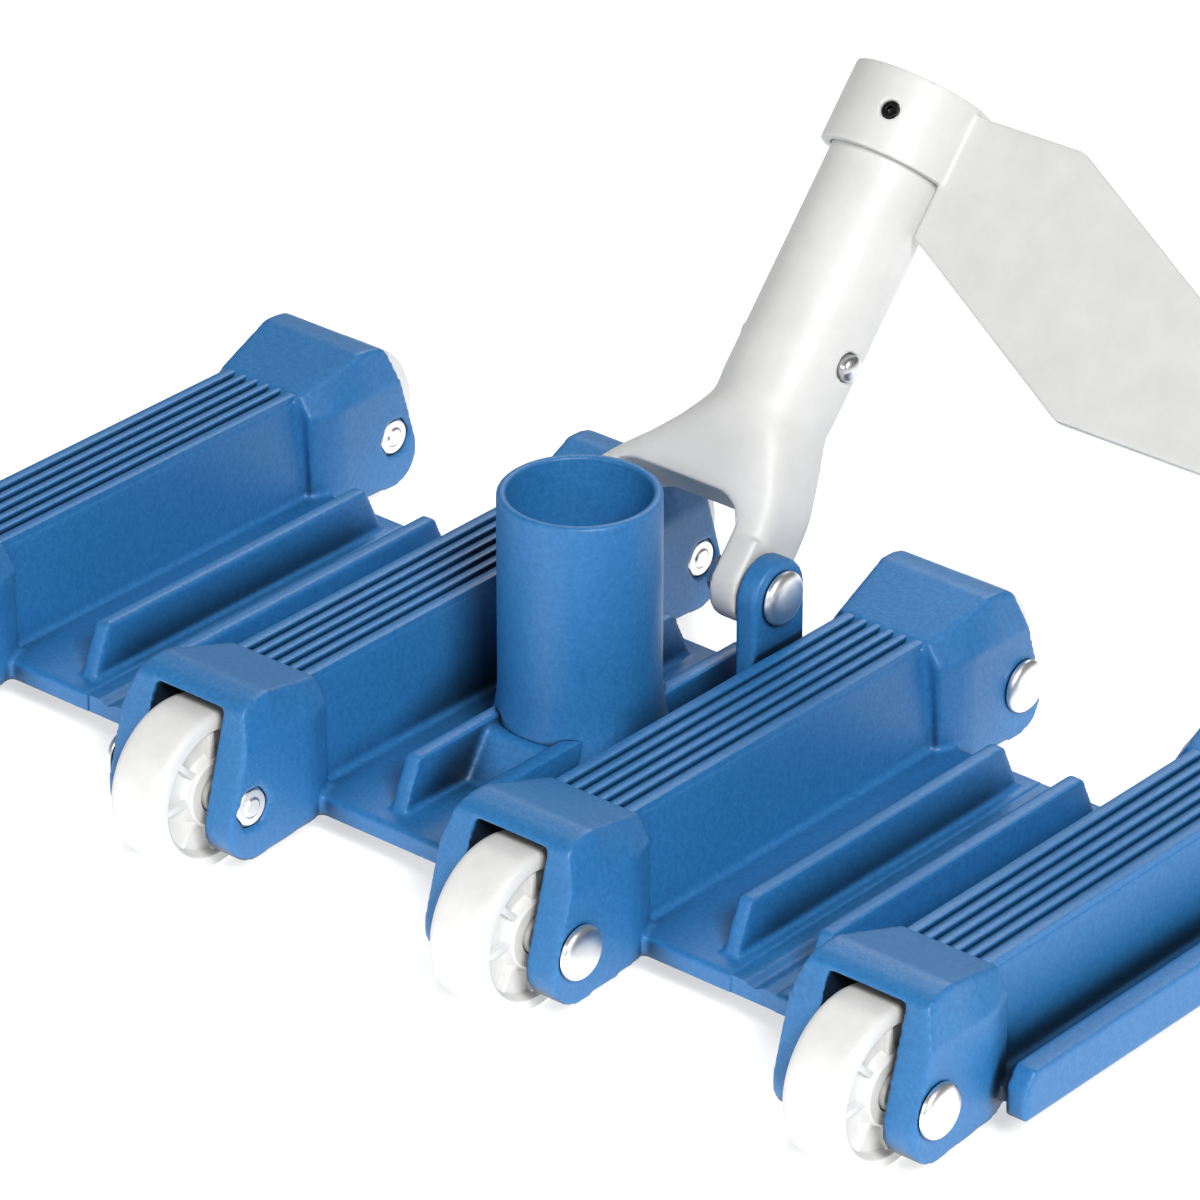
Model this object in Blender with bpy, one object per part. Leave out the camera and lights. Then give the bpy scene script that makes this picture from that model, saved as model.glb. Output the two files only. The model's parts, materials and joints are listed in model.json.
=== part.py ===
"""Weighted flexible pool vacuum head: eight wheels, a hose port, a swinging pole handle and a side wing.

Units are metres, +Z up, +X along the head, +Y to the rear. The origin is the middle of the bounding box
on the floor. Inside the model, x and y are counted from the hose port's axis.
"""
import bmesh
import bpy
from math import cos, pi, radians, sin, tan
from mathutils import Euler, Matrix, Vector

MM = 0.001

# Driving sizes
GAP = 0.3 * MM               # left between touching pieces
POD_X_INNER = 48.0 * MM      # inner pods' centre lines
POD_X_OUTER = 147.0 * MM     # outer pods' centre lines
HEAD_HALF_X = 175.5 * MM     # half the length of the head
UNDER_Z = 7.2 * MM           # ground clearance of the pods and webs
WEB_THICK = 5.3 * MM
WEB_HALF_Y = 56.0 * MM

# Pods
BAR_TOP_Z = 39.3 * MM
BAR_TOP_HALF = 11.5 * MM
BAR_BASE_HALF = 15.3 * MM
GROOVES = 5
GROOVE_WIDTH = 1.7 * MM
GROOVE_DEPTH = 1.3 * MM
HUMP_START = 51.0 * MM       # where a pod's end block begins, along Y
HUMP_START_HALF = 16.3 * MM
HUMP_START_TOP = 12.8 * MM   # half width of the top where the block begins
HUMP_FLARE = 8.0 * MM        # length over which the block widens
HUMP_RISE = 19.0 * MM        # length over which its top climbs
NOSE_FALL = 2.2 * MM         # drop of the rounded front over the wheel
POD_HALF = 19.2 * MM         # half width over the wheel lugs
HUMP_TOP_Z = 44.5 * MM
HUMP_TOP_HALF = 15.8 * MM
SHOULDER_Z = 34.0 * MM
LUG_RADIUS = 8.6 * MM
LUG_BACK = 0.8 * MM          # lug centre behind and below the axle
LUG_DROP = 4.8 * MM

# Wheels and axles
WHEEL_RADIUS = 19.4 * MM
WHEEL_HALF = 7.6 * MM
AXLE_Y = 79.0 * MM
SLOT_HALF = 10.5 * MM
SLOT_CLEAR = 2.8 * MM        # wheel tread to the slot
AXLE_RADIUS = 2.5 * MM
BUSH_WALL = 1.7 * MM
BUSH_PROUD = 1.0 * MM        # bush past each wheel face
RIM_DISH = 2.0 * MM
HEAD_RADIUS = 6.5 * MM
HEAD_THICK = 2.5 * MM
NUT_FLATS = 8.6 * MM
NUT_THICK = 4.0 * MM
TIP_PROUD = 1.2 * MM
NUT_POCKET = 4.9 * MM        # depth of the hexagon pocket that hides an axle nut
AXLE_TIP_PROUD = 0.4 * MM

# Fins and end flaps
FIN_OFFSET = 11.2 * MM       # from a web's bend line to a fin's middle
FIN_THICK = 4.2 * MM
FIN_TOP_Z = 25.0 * MM
FIN_RAKE = 6.5 * MM
FIN_HALF_Y = 51.5 * MM
BEND_LIMIT = radians(12.0)
FLAP_THICK = 6.0 * MM
FLAP_LOW_Z = 10.4 * MM
FLAP_TOP_Z = 21.9 * MM
FLAP_HALF_Y = 60.0 * MM
FLAP_WEB = 3.6 * MM

# Ballast
WEIGHT_HALF_X = 8.0 * MM
WEIGHT_HALF_Y = 44.0 * MM
WEIGHT_HEIGHT = 20.0 * MM
POCKET_ROOF = 4.5 * MM
CAP_LIP = 2.2 * MM
CAP_THICK = 2.4 * MM

# Hose port
PORT_OUTER = 19.0 * MM
PORT_WALL = 2.3 * MM
PORT_TOP_Z = 78.5 * MM
PORT_BLOCK_HALF_Y = 22.0 * MM
PORT_BLOCK_TOP_Z = 26.5 * MM
PORT_SEAT = 2.2 * MM         # web left under the port tube

# Handle
PIVOT_Y = 30.3 * MM
PIVOT_Z = 50.8 * MM
LEAN = radians(41.5)         # tube's tilt to the rear from upright
EAR_THICK = 6.1 * MM
EAR_RADIUS = 9.0 * MM
YOKE_HALF = 27.6 * MM
LEG_THICK = 7.4 * MM
LEG_RADIUS = 8.9 * MM
LEG_TOP = 9.0 * MM           # where the legs begin to draw in to the tube
HEEL_BACK = 12.0 * MM        # legs' reach behind the pivot, above it
HEEL_START = 6.0 * MM
CROTCH = 16.5 * MM           # pivot to the arch between the legs
CROTCH_ROUND = 8.0 * MM
TUBE_X = 9.8 * MM           # tube's axis beside the port's axis
TUBE_RADIUS = 14.3 * MM
TUBE_WALL = 2.2 * MM
TUBE_START = 38.0 * MM
TUBE_END = 122.0 * MM
BORE_START = 36.0 * MM
BUTTON_UP = 55.0 * MM
BUTTON_RADIUS = 3.2 * MM
BUTTON_PROUD = 2.4 * MM
CLIP_THICK = 0.8 * MM
CLIP_HALF = 4.0 * MM
CLIP_LENGTH = 26.0 * MM
LEAF_INSET = 1.0 * MM        # bore to the spring leaves

# Wing
COLLAR_WALL = 2.6 * MM
COLLAR_START = 102.0 * MM
PLATE_THICK = 3.6 * MM
PLATE_ROOT_LOW = 88.4 * MM
PLATE_ROOT_HIGH = 120.3 * MM
PLATE_SHOULDER = 31.7 * MM   # straight run beside the collar, along X
PLATE_SLOPE = 0.515          # fall of the swept edges for each step along X
PLATE_LOW = 59.7 * MM
PLATE_REACH = 126.7 * MM     # tube axis to the wing's far end
SCREW_RADIUS = 2.0 * MM
SCREW_TURN = radians(16.0)   # screw about the tube, from the front towards the wing

# Worked out from the driving sizes
WEB_TOP_Z = UNDER_Z + WEB_THICK
AXLE_Z = WHEEL_RADIUS
BEND_X = (POD_X_INNER + POD_X_OUTER) / 2
BEND_Z = UNDER_Z + WEB_THICK / 2
BUSH_RADIUS = AXLE_RADIUS + GAP + BUSH_WALL
EAR_INNER = YOKE_HALF + 0.5 * MM
EAR_OUTER = EAR_INNER + EAR_THICK
LEAF_OUTER = TUBE_RADIUS - TUBE_WALL - LEAF_INSET
COLLAR_INNER = TUBE_RADIUS + GAP
COLLAR_OUTER = COLLAR_INNER + COLLAR_WALL
FRONT_Y = -(AXLE_Y + WHEEL_RADIUS)
REAR_Y = PIVOT_Y + TUBE_END * sin(LEAN) + COLLAR_OUTER * cos(LEAN)
PORT_AXIS_Y = -(FRONT_Y + REAR_Y) / 2


# Mesh helpers
def material(name, colour, roughness, metallic=0.0):
    mat = bpy.data.materials.new(name)
    mat.use_nodes = True
    shader = mat.node_tree.nodes["Principled BSDF"]
    shader.inputs["Base Color"].default_value = (*colour, 1.0)
    shader.inputs["Roughness"].default_value = roughness
    shader.inputs["Metallic"].default_value = metallic
    mat.diffuse_color = (*colour, 1.0)
    return mat


def add_object(name, bm, mat=None):
    bmesh.ops.recalc_face_normals(bm, faces=bm.faces)
    mesh = bpy.data.meshes.new(name)
    bm.to_mesh(mesh)
    bm.free()
    obj = bpy.data.objects.new(name, mesh)
    bpy.context.scene.collection.objects.link(obj)
    if mat:
        mesh.materials.append(mat)
    return obj


def prism(outline, low, high, axis, mat=None, name="tool"):
    """Extrudes an outline along axis: 'x' takes (y, z) points, 'y' takes (x, z) and 'z' takes (x, y)."""
    spots = {
        "x": lambda a, b, h: (h, a, b),
        "y": lambda a, b, h: (a, h, b),
        "z": lambda a, b, h: (a, b, h),
    }
    spot = spots[axis]
    bm = bmesh.new()
    ends = [[bm.verts.new(spot(a, b, h)) for a, b in outline] for h in (low, high)]
    for ring in ends:
        bm.faces.new(ring)
    count = len(outline)
    for i in range(count):
        j = (i + 1) % count
        bm.faces.new((ends[0][i], ends[0][j], ends[1][j], ends[1][i]))
    return add_object(name, bm, mat)


def block(low, high, mat=None, name="tool"):
    outline = [(low[0], low[1]), (high[0], low[1]), (high[0], high[1]), (low[0], high[1])]
    return prism(outline, low[2], high[2], "z", mat, name)


def arc(centre, radius, start, end, steps):
    """Points on an arc, from start to end in degrees."""
    turns = [radians(start + (end - start) * i / steps) for i in range(steps + 1)]
    return [(centre[0] + radius * cos(t), centre[1] + radius * sin(t)) for t in turns]


def turned(profile, axis="z", segments=24, mat=None, name="tool"):
    """Spins a closed profile of (radius, height) points about axis."""
    spots = {
        "x": lambda r, t, h: (h, r * cos(t), r * sin(t)),
        "z": lambda r, t, h: (r * cos(t), r * sin(t), h),
    }
    spot = spots[axis]
    bm = bmesh.new()
    columns = []
    for r, h in profile:
        if r == 0:
            columns.append([bm.verts.new(spot(0, 0, h))] * segments)
            continue
        columns.append([bm.verts.new(spot(r, 2 * pi * i / segments, h)) for i in range(segments)])
    for a, b in zip(columns, columns[1:] + columns[:1]):
        if a[0] is a[1] and b[0] is b[1]:
            continue
        for i in range(segments):
            j = (i + 1) % segments
            corners = list(dict.fromkeys((a[i], a[j], b[j], b[i])))
            bm.faces.new(corners)
    return add_object(name, bm, mat)


def rod(radius, low, high, axis="z", segments=24, mat=None, name="tool"):
    return turned([(0, low), (radius, low), (radius, high), (0, high)], axis, segments, mat, name)


def sleeve(inner, outer, low, high, axis="z", segments=24, mat=None, name="tool"):
    return turned([(inner, low), (outer, low), (outer, high), (inner, high)], axis, segments, mat, name)


def moved(obj, x=0.0, y=0.0, z=0.0, spin=0.0):
    """Shifts a mesh after an optional turn about Z."""
    obj.data.transform(Matrix.Translation((x, y, z)) @ Matrix.Rotation(spin, 4, "Z"))
    return obj


def combine(target, tool, operation):
    """Applies one Boolean to target's mesh and removes the tool."""
    modifier = target.modifiers.new("combine", "BOOLEAN")
    modifier.operation = operation
    modifier.solver = "EXACT"
    modifier.object = tool
    bpy.context.view_layer.update()
    result = bpy.data.meshes.new_from_object(target.evaluated_get(bpy.context.evaluated_depsgraph_get()))
    target.modifiers.clear()
    target.data = result
    bpy.data.objects.remove(tool)
    return target


def add(target, tool):
    return combine(target, tool, "UNION")


def cut(target, tool):
    return combine(target, tool, "DIFFERENCE")


def keep(target, tool):
    return combine(target, tool, "INTERSECT")


# Moulded body
def bar_outline():
    chamfer = 1.0 * MM
    pitch = 2 * BAR_TOP_HALF / (GROOVES + 1)
    points = [(-BAR_BASE_HALF, UNDER_Z), (BAR_BASE_HALF, UNDER_Z)]
    points += [(BAR_TOP_HALF + 0.3 * MM, BAR_TOP_Z - chamfer), (BAR_TOP_HALF - chamfer, BAR_TOP_Z)]
    for i in range(GROOVES):
        middle = BAR_TOP_HALF - (i + 1) * pitch
        points.append((middle + GROOVE_WIDTH / 2, BAR_TOP_Z))
        points.append((middle + GROOVE_WIDTH / 4, BAR_TOP_Z - GROOVE_DEPTH))
        points.append((middle - GROOVE_WIDTH / 4, BAR_TOP_Z - GROOVE_DEPTH))
        points.append((middle - GROOVE_WIDTH / 2, BAR_TOP_Z))
    points += [(-BAR_TOP_HALF + chamfer, BAR_TOP_Z), (-BAR_TOP_HALF - 0.3 * MM, BAR_TOP_Z - chamfer)]
    return points


def end_block(side):
    """One raised end of a pod, on the side of Y given by side, still without its wheel slot."""
    far = AXLE_Y + WHEEL_RADIUS
    flare = HUMP_START + HUMP_FLARE
    crest = HUMP_START + HUMP_RISE
    part_way = HUMP_FLARE / HUMP_RISE
    flare_top = HUMP_START_TOP + (HUMP_TOP_HALF - HUMP_START_TOP) * part_way
    flare_z = BAR_TOP_Z + (HUMP_TOP_Z - BAR_TOP_Z) * part_way
    stations = [(HUMP_START, HUMP_START_HALF, HUMP_START_TOP, BAR_TOP_Z)]
    stations.append((flare, POD_HALF, flare_top, flare_z))
    stations += [(crest, POD_HALF, HUMP_TOP_HALF, HUMP_TOP_Z), (far, POD_HALF, HUMP_TOP_HALF, HUMP_TOP_Z)]
    bm = bmesh.new()
    rings = []
    for y, base, top, height in stations:
        half = [(base, -MM), (base, SHOULDER_Z), (top, height)]
        ring = half + [(-x, z) for x, z in reversed(half)]
        rings.append([bm.verts.new((x, side * y, z)) for x, z in ring])
    for near, away in zip(rings, rings[1:]):
        for i in range(len(near)):
            j = (i + 1) % len(near)
            bm.faces.new((near[i], near[j], away[j], away[i]))
    bm.faces.new(rings[0])
    bm.faces.new(rings[-1])
    bmesh.ops.triangulate(bm, faces=bm.faces)
    shape = add_object("tool", bm)
    lug = (AXLE_Y - LUG_BACK, AXLE_Z - LUG_DROP)
    profile = [(HUMP_START - MM, UNDER_Z), (HUMP_START - MM, HUMP_TOP_Z + MM)]
    profile.append((AXLE_Y - 7 * MM, HUMP_TOP_Z + MM))
    profile += [(AXLE_Y - 7 * MM, HUMP_TOP_Z), (AXLE_Y - 3 * MM, HUMP_TOP_Z - 0.25 * NOSE_FALL)]
    profile += [(AXLE_Y - MM, HUMP_TOP_Z - 0.6 * NOSE_FALL), (AXLE_Y, HUMP_TOP_Z - NOSE_FALL)]
    profile += arc(lug, LUG_RADIUS, 14, -100, 8)
    profile += [(AXLE_Y - 16 * MM, UNDER_Z)]
    return keep(shape, prism([(side * y, z) for y, z in profile], -POD_HALF - MM, POD_HALF + MM, "x"))


def wheel_slot(side):
    back = AXLE_Y - WHEEL_RADIUS - SLOT_CLEAR
    roof = AXLE_Z + WHEEL_RADIUS + SLOT_CLEAR
    far = AXLE_Y + 2 * WHEEL_RADIUS
    profile = [(back, -MM), (back, AXLE_Z + 12 * MM)]
    profile += [(back + 7 * MM, roof - 2 * MM), (back + 14 * MM, roof)]
    profile += [(far, roof), (far, -MM)]
    return prism([(side * y, z) for y, z in profile], -SLOT_HALF, SLOT_HALF, "x")


def pod(name, x):
    body = prism(bar_outline(), -HUMP_START - 2 * MM, HUMP_START + 2 * MM, "y", BLUE, name)
    for side in (-1, 1):
        add(body, end_block(side))
    return moved(body, x)


def pod_cuts(body, x):
    hand = -1 if x > 0 else 1
    pocket = sorted((hand * (POD_HALF - NUT_POCKET), hand * (POD_HALF + MM)))
    for side in (-1, 1):
        cut(body, moved(hexagon(NUT_FLATS + 2 * GAP, *pocket), x, side * AXLE_Y, AXLE_Z))
        cut(body, moved(wheel_slot(side), x))
        bore = rod(AXLE_RADIUS + GAP, -2 * POD_HALF, 2 * POD_HALF, "x", 16)
        cut(body, moved(bore, x, side * AXLE_Y, AXLE_Z))
    reach_x = WEIGHT_HALF_X + GAP
    reach_y = WEIGHT_HALF_Y + GAP
    roof = BAR_TOP_Z - POCKET_ROOF
    cut(body, block((x - reach_x, -reach_y, 0), (x + reach_x, reach_y, roof)))
    lip_x = reach_x + CAP_LIP
    lip_y = reach_y + CAP_LIP
    cut(body, block((x - lip_x, -lip_y, 0), (x + lip_x, lip_y, UNDER_Z + CAP_THICK)))


def fin(x, top=FIN_TOP_Z, thick=FIN_THICK):
    low = WEB_TOP_Z - 2 * MM
    outline = [(-FIN_HALF_Y, low), (-FIN_HALF_Y + FIN_RAKE, top)]
    outline += [(FIN_HALF_Y - FIN_RAKE, top), (FIN_HALF_Y, low)]
    return prism(outline, x - thick / 2, x + thick / 2, "x")


def centre_section():
    body = prism(bar_outline(), -HUMP_START - 2 * MM, HUMP_START + 2 * MM, "y", BLUE, "body_center")
    moved(body, -POD_X_INNER)
    for side in (-1, 1):
        add(body, moved(end_block(side), -POD_X_INNER))
    half = BEND_X - GAP / 2
    slope = (WEB_THICK / 2) * tan(BEND_LIMIT) * 1.2
    edge = [(-half + slope, UNDER_Z), (half - slope, UNDER_Z), (half, BEND_Z), (half - slope, WEB_TOP_Z)]
    edge += [(-half + slope, WEB_TOP_Z), (-half, BEND_Z)]
    add(body, prism(edge, -WEB_HALF_Y, WEB_HALF_Y, "y"))
    add(body, pod("tool", POD_X_INNER))
    for x in (-BEND_X + FIN_OFFSET, -FIN_OFFSET, FIN_OFFSET, BEND_X - FIN_OFFSET):
        add(body, fin(x))
    deep = PORT_BLOCK_HALF_Y
    wide = FIN_OFFSET + FIN_THICK / 2
    rise = [(-deep - 8 * MM, WEB_TOP_Z - MM), (-deep, PORT_BLOCK_TOP_Z), (deep, PORT_BLOCK_TOP_Z)]
    rise += [(deep + 8 * MM, WEB_TOP_Z - MM)]
    add(body, prism(rise, -wide, wide, "x"))
    for side in (-1, 1):
        foot = WEB_TOP_Z - 2 * MM
        outline = [(PIVOT_Y + EAR_RADIUS, foot)] + arc((PIVOT_Y, PIVOT_Z), EAR_RADIUS, 0, 180, 10)
        outline += [(PIVOT_Y - EAR_RADIUS, foot)]
        inner, outer = sorted((side * EAR_INNER, side * EAR_OUTER))
        add(body, prism(outline, inner, outer, "x"))
    cut(body, rod(PORT_OUTER + GAP, UNDER_Z + PORT_SEAT, PORT_TOP_Z, "z", 32))
    cut(body, rod(PORT_OUTER - PORT_WALL, -MM, PORT_TOP_Z, "z", 32))
    cut(body, moved(rod(AXLE_RADIUS + GAP, -EAR_OUTER - MM, EAR_OUTER + MM, "x", 16), 0, PIVOT_Y, PIVOT_Z))
    for x in (-POD_X_INNER, POD_X_INNER):
        pod_cuts(body, x)
    return body


def outer_section(name, side):
    body = pod(name, side * POD_X_OUTER)
    near = BEND_X + GAP / 2
    slope = (WEB_THICK / 2) * tan(BEND_LIMIT) * 1.2
    edge = [(near, BEND_Z), (near + slope, UNDER_Z), (POD_X_OUTER, UNDER_Z), (POD_X_OUTER, WEB_TOP_Z)]
    edge += [(near + slope, WEB_TOP_Z)]
    add(body, prism([(side * x, z) for x, z in edge], -WEB_HALF_Y, WEB_HALF_Y, "y"))
    add(body, fin(side * (BEND_X + FIN_OFFSET)))
    floor = sorted((side * POD_X_OUTER, side * (HEAD_HALF_X - MM)))
    add(body, block((floor[0], -WEB_HALF_Y, FLAP_LOW_Z), (floor[1], WEB_HALF_Y, FLAP_LOW_Z + FLAP_WEB)))
    low = FLAP_LOW_Z
    outline = [(-FLAP_HALF_Y, low), (-FLAP_HALF_Y, FLAP_TOP_Z - 4 * MM)]
    outline.append((-FLAP_HALF_Y + 3 * MM, FLAP_TOP_Z))
    outline += [(-y, z) for y, z in reversed(outline)]
    flap = sorted((side * HEAD_HALF_X, side * (HEAD_HALF_X - FLAP_THICK)))
    add(body, prism(outline, flap[0], flap[1], "x"))
    pod_cuts(body, side * POD_X_OUTER)
    return body


# Pieces held by the body
def ballast(number, x):
    roof = BAR_TOP_Z - POCKET_ROOF - GAP
    low = (x - WEIGHT_HALF_X, -WEIGHT_HALF_Y, roof - WEIGHT_HEIGHT)
    block(low, (x + WEIGHT_HALF_X, WEIGHT_HALF_Y, roof), LEAD, f"ballast_{number}")


def ballast_cap(number, x):
    """A plate in the pod's underside, with a plug that reaches up to the ballast."""
    plate_x = WEIGHT_HALF_X + CAP_LIP
    plate_y = WEIGHT_HALF_Y + CAP_LIP
    name = f"ballast_cap_{number}"
    top = UNDER_Z + CAP_THICK - GAP
    cap = block((x - plate_x, -plate_y, UNDER_Z), (x + plate_x, plate_y, top), BLUE_DARK, name)
    under = BAR_TOP_Z - POCKET_ROOF - 2 * GAP - WEIGHT_HEIGHT
    inner = block((x - WEIGHT_HALF_X, -WEIGHT_HALF_Y, top - MM), (x + WEIGHT_HALF_X, WEIGHT_HALF_Y, under))
    add(cap, inner)


def wheel(name, x, y):
    hub = BUSH_RADIUS + GAP
    w = WHEEL_HALF
    r = WHEEL_RADIUS
    profile = [(hub, -w), (hub + 3 * MM, -w), (hub + 4 * MM, -w + RIM_DISH), (r - 4.5 * MM, -w + RIM_DISH)]
    profile += [(r - 3.5 * MM, -w), (r - 1.2 * MM, -w), (r, -w + 1.8 * MM)]
    profile += [(a, -b) for a, b in reversed(profile)]
    obj = turned(profile, "x", 28, WHITE, name)
    obj.location = (x, y, AXLE_Z)
    return obj


def bush(name, x, y):
    half = WHEEL_HALF + BUSH_PROUD
    obj = sleeve(AXLE_RADIUS + GAP, BUSH_RADIUS, -half, half, "x", 20, GREY, name)
    obj.location = (x, y, AXLE_Z)
    return obj


def bolt(name, side, face, tip, place):
    """A round-headed bolt along X: its head seats on face, its shank ends at tip, both mirrored by side."""
    seat = face + GAP
    profile = [(0, tip), (AXLE_RADIUS, tip), (AXLE_RADIUS, seat), (HEAD_RADIUS, seat)]
    profile += [(HEAD_RADIUS, seat + 0.6 * HEAD_THICK), (HEAD_RADIUS * 0.72, seat + HEAD_THICK)]
    profile += [(0, seat + HEAD_THICK)]
    obj = turned([(r, side * h) for r, h in profile], "x", 20, STEEL, name)
    obj.location = place
    return obj


def hexagon(flats, low, high, mat=None, name="tool"):
    return rod(flats / 2 / cos(pi / 6), low, high, "x", 6, mat, name)


def nut(name, low, high, place):
    obj = hexagon(NUT_FLATS, low, high, STEEL, name)
    cut(obj, rod(AXLE_RADIUS + GAP, low - MM, high + MM, "x", 16))
    obj.location = place
    return obj


def running_gear(number, x):
    """Wheels, bushes, axle bolts and nuts of one pod. Bolt heads face outwards from the middle."""
    side = 1 if x > 0 else -1
    for end, y in (("front", -AXLE_Y), ("rear", AXLE_Y)):
        tag = f"{end}_{number}"
        wheel(f"wheel_{tag}", x, y)
        bush(f"bush_{tag}", x, y)
        seat = POD_HALF - NUT_POCKET + GAP
        outer = seat + NUT_THICK
        bolt(f"axle_bolt_{tag}", side, POD_HALF, -outer - AXLE_TIP_PROUD, (x, y, AXLE_Z))
        low, high = sorted((-side * seat, -side * outer))
        nut(f"axle_nut_{tag}", low, high, (x, y, AXLE_Z))


# Handle, in the pivot's own frame: x along the pivot, z up the tube, -y towards the front
def oval(half_x, half_y, power, count):
    """A superellipse, round at power 2 and squarer above it."""
    points = []
    for i in range(count):
        t = 2 * pi * i / count
        c, s = cos(t), sin(t)
        x = half_x * abs(c) ** (2 / power) * (1 if c >= 0 else -1)
        y = half_y * abs(s) ** (2 / power) * (1 if s >= 0 else -1)
        points.append((x, y))
    return points


def lofted(sections, mat, name, count=28):
    """Joins ovals given as (height, centre x, half x, centre y, half y, power)."""
    bm = bmesh.new()
    rings = []
    for z, cx, hx, cy, hy, power in sections:
        rings.append([bm.verts.new((cx + x, cy + y, z)) for x, y in oval(hx, hy, power, count)])
    for a, b in zip(rings, rings[1:]):
        for i in range(count):
            j = (i + 1) % count
            bm.faces.new((a[i], a[j], b[j], b[i]))
    bm.faces.new(rings[0])
    bm.faces.new(rings[-1])
    return add_object(name, bm, mat)


def handle():
    r = TUBE_RADIUS
    left = TUBE_X - r
    right = TUBE_X + r
    front = -LEG_RADIUS
    rise = TUBE_START - LEG_TOP
    spans = [(LEG_TOP - 3 * MM, -YOKE_HALF, YOKE_HALF, front, HEEL_BACK, 7)]
    spans += [(LEG_TOP, -YOKE_HALF, YOKE_HALF, front, HEEL_BACK, 7)]
    draws = [(0.18, 0.14, 0.0, 6), (0.36, 0.36, 0.1, 5), (0.54, 0.62, 0.4, 4)]
    draws += [(0.77, 0.88, 0.8, 3), (1, 1, 1, 2)]
    for share, in_left, in_right, power in draws:
        from_left = -YOKE_HALF + (left + YOKE_HALF) * in_left
        from_right = YOKE_HALF + (right - YOKE_HALF) * in_right
        rear = HEEL_BACK + (r - HEEL_BACK) * in_left
        near = front + (-r - front) * in_left
        spans.append((LEG_TOP + rise * share, from_left, from_right, near, rear, power))
    spans.append((TUBE_END, left, right, -r, r, 2))
    sections = []
    for z, left, right, front_y, rear_y, power in spans:
        middle = ((left + right) / 2, (right - left) / 2, (front_y + rear_y) / 2, (rear_y - front_y) / 2)
        sections.append((z, *middle, power))
    obj = lofted(sections, WHITE, "handle_yoke")
    for side in (-1, 1):
        inner, outer = sorted((side * (YOKE_HALF - LEG_THICK), side * YOKE_HALF))
        leg = arc((0, 0), LEG_RADIUS, 180, 350, 10) + [(HEEL_BACK, HEEL_START), (HEEL_BACK, LEG_TOP)]
        leg += [(front, LEG_TOP)]
        add(obj, prism(leg, inner, outer, "x"))
    gap = YOKE_HALF - LEG_THICK
    corner = CROTCH_ROUND
    arch = [(-gap, -LEG_RADIUS - MM), (gap, -LEG_RADIUS - MM)]
    arch += arc((gap - corner, CROTCH - corner), corner, 0, 90, 5)
    arch += arc((-gap + corner, CROTCH - corner), corner, 90, 180, 5)
    cut(obj, prism(arch, -2 * LEG_RADIUS, 2 * LEG_RADIUS, "y"))
    cut(obj, moved(rod(r - TUBE_WALL, BORE_START, TUBE_END + MM, "z", 28), TUBE_X))
    cut(obj, rod(AXLE_RADIUS + GAP, -YOKE_HALF - MM, YOKE_HALF + MM, "x", 16))
    cut(obj, moved(rod(BUTTON_RADIUS + GAP, -2 * r, 2 * r, "x", 16), TUBE_X, 0, BUTTON_UP))
    cut(obj, screw_rod(SCREW_RADIUS + GAP, 0, 2 * r))
    return obj


def screw_rod(radius, inner, outer, mat=None, name="tool"):
    """A rod square to the tube, at the set screw's place, from inner to outer away from the tube's axis."""
    middle = (COLLAR_START + TUBE_END) / 2
    rod_y = prism(arc((0, middle), radius, 0, 337.5, 15), -outer, -inner, "y", mat, name)
    return moved(rod_y, TUBE_X, spin=SCREW_TURN)


def wing():
    """The collar on the tube's end and the swept plate beside it, moulded in one."""
    start = COLLAR_INNER + COLLAR_WALL / 2
    shoulder = start + PLATE_SHOULDER
    tip_high = PLATE_ROOT_HIGH - (PLATE_REACH - shoulder) * PLATE_SLOPE
    heel = start + (PLATE_ROOT_LOW - PLATE_LOW) / PLATE_SLOPE
    outline = [(start, PLATE_ROOT_LOW), (heel, PLATE_LOW)]
    outline += [(PLATE_REACH, PLATE_LOW), (PLATE_REACH, tip_high)]
    outline += [(shoulder, PLATE_ROOT_HIGH), (start, PLATE_ROOT_HIGH)]
    plate = prism(outline, -PLATE_THICK / 2, PLATE_THICK / 2, "y", WHITE, "wing")
    add(plate, sleeve(COLLAR_INNER, COLLAR_OUTER, COLLAR_START, TUBE_END, "z", 28))
    moved(plate, TUBE_X)
    return cut(plate, screw_rod(SCREW_RADIUS + GAP, 0, 2 * COLLAR_OUTER))


def wing_screw():
    """Set screw through the collar and the tube wall."""
    inner = TUBE_RADIUS - TUBE_WALL
    outer = COLLAR_OUTER - 0.4 * MM
    return screw_rod(SCREW_RADIUS, inner, outer, STEEL, "wing_screw")


def snap_button(name, side):
    """A button and the spring leaf that carries it inside the tube."""
    proud = TUBE_RADIUS + BUTTON_PROUD
    base = LEAF_OUTER - CLIP_THICK / 2
    profile = [(0, base), (BUTTON_RADIUS, base), (BUTTON_RADIUS, proud - MM), (BUTTON_RADIUS - MM, proud)]
    profile += [(0, proud)]
    button = turned([(r, side * h) for r, h in profile], "x", 16, STEEL, name)
    low, high = sorted((side * (LEAF_OUTER - CLIP_THICK), side * LEAF_OUTER))
    leaf = block((low, -CLIP_HALF, -CLIP_HALF), (high, CLIP_HALF, CLIP_LENGTH))
    add(button, leaf)
    return moved(button, TUBE_X, 0, BUTTON_UP)


def clip_bend():
    """The bent end that joins the two spring leaves."""
    level = BUTTON_UP + CLIP_LENGTH + GAP
    outline = arc((TUBE_X, level), LEAF_OUTER, 0, 180, 12)
    outline += arc((TUBE_X, level), LEAF_OUTER - CLIP_THICK, 180, 0, 12)
    return prism(outline, -CLIP_HALF, CLIP_HALF, "y", STEEL, "clip_bend")


# Assembly
for old in list(bpy.data.objects):
    bpy.data.objects.remove(old)

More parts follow.
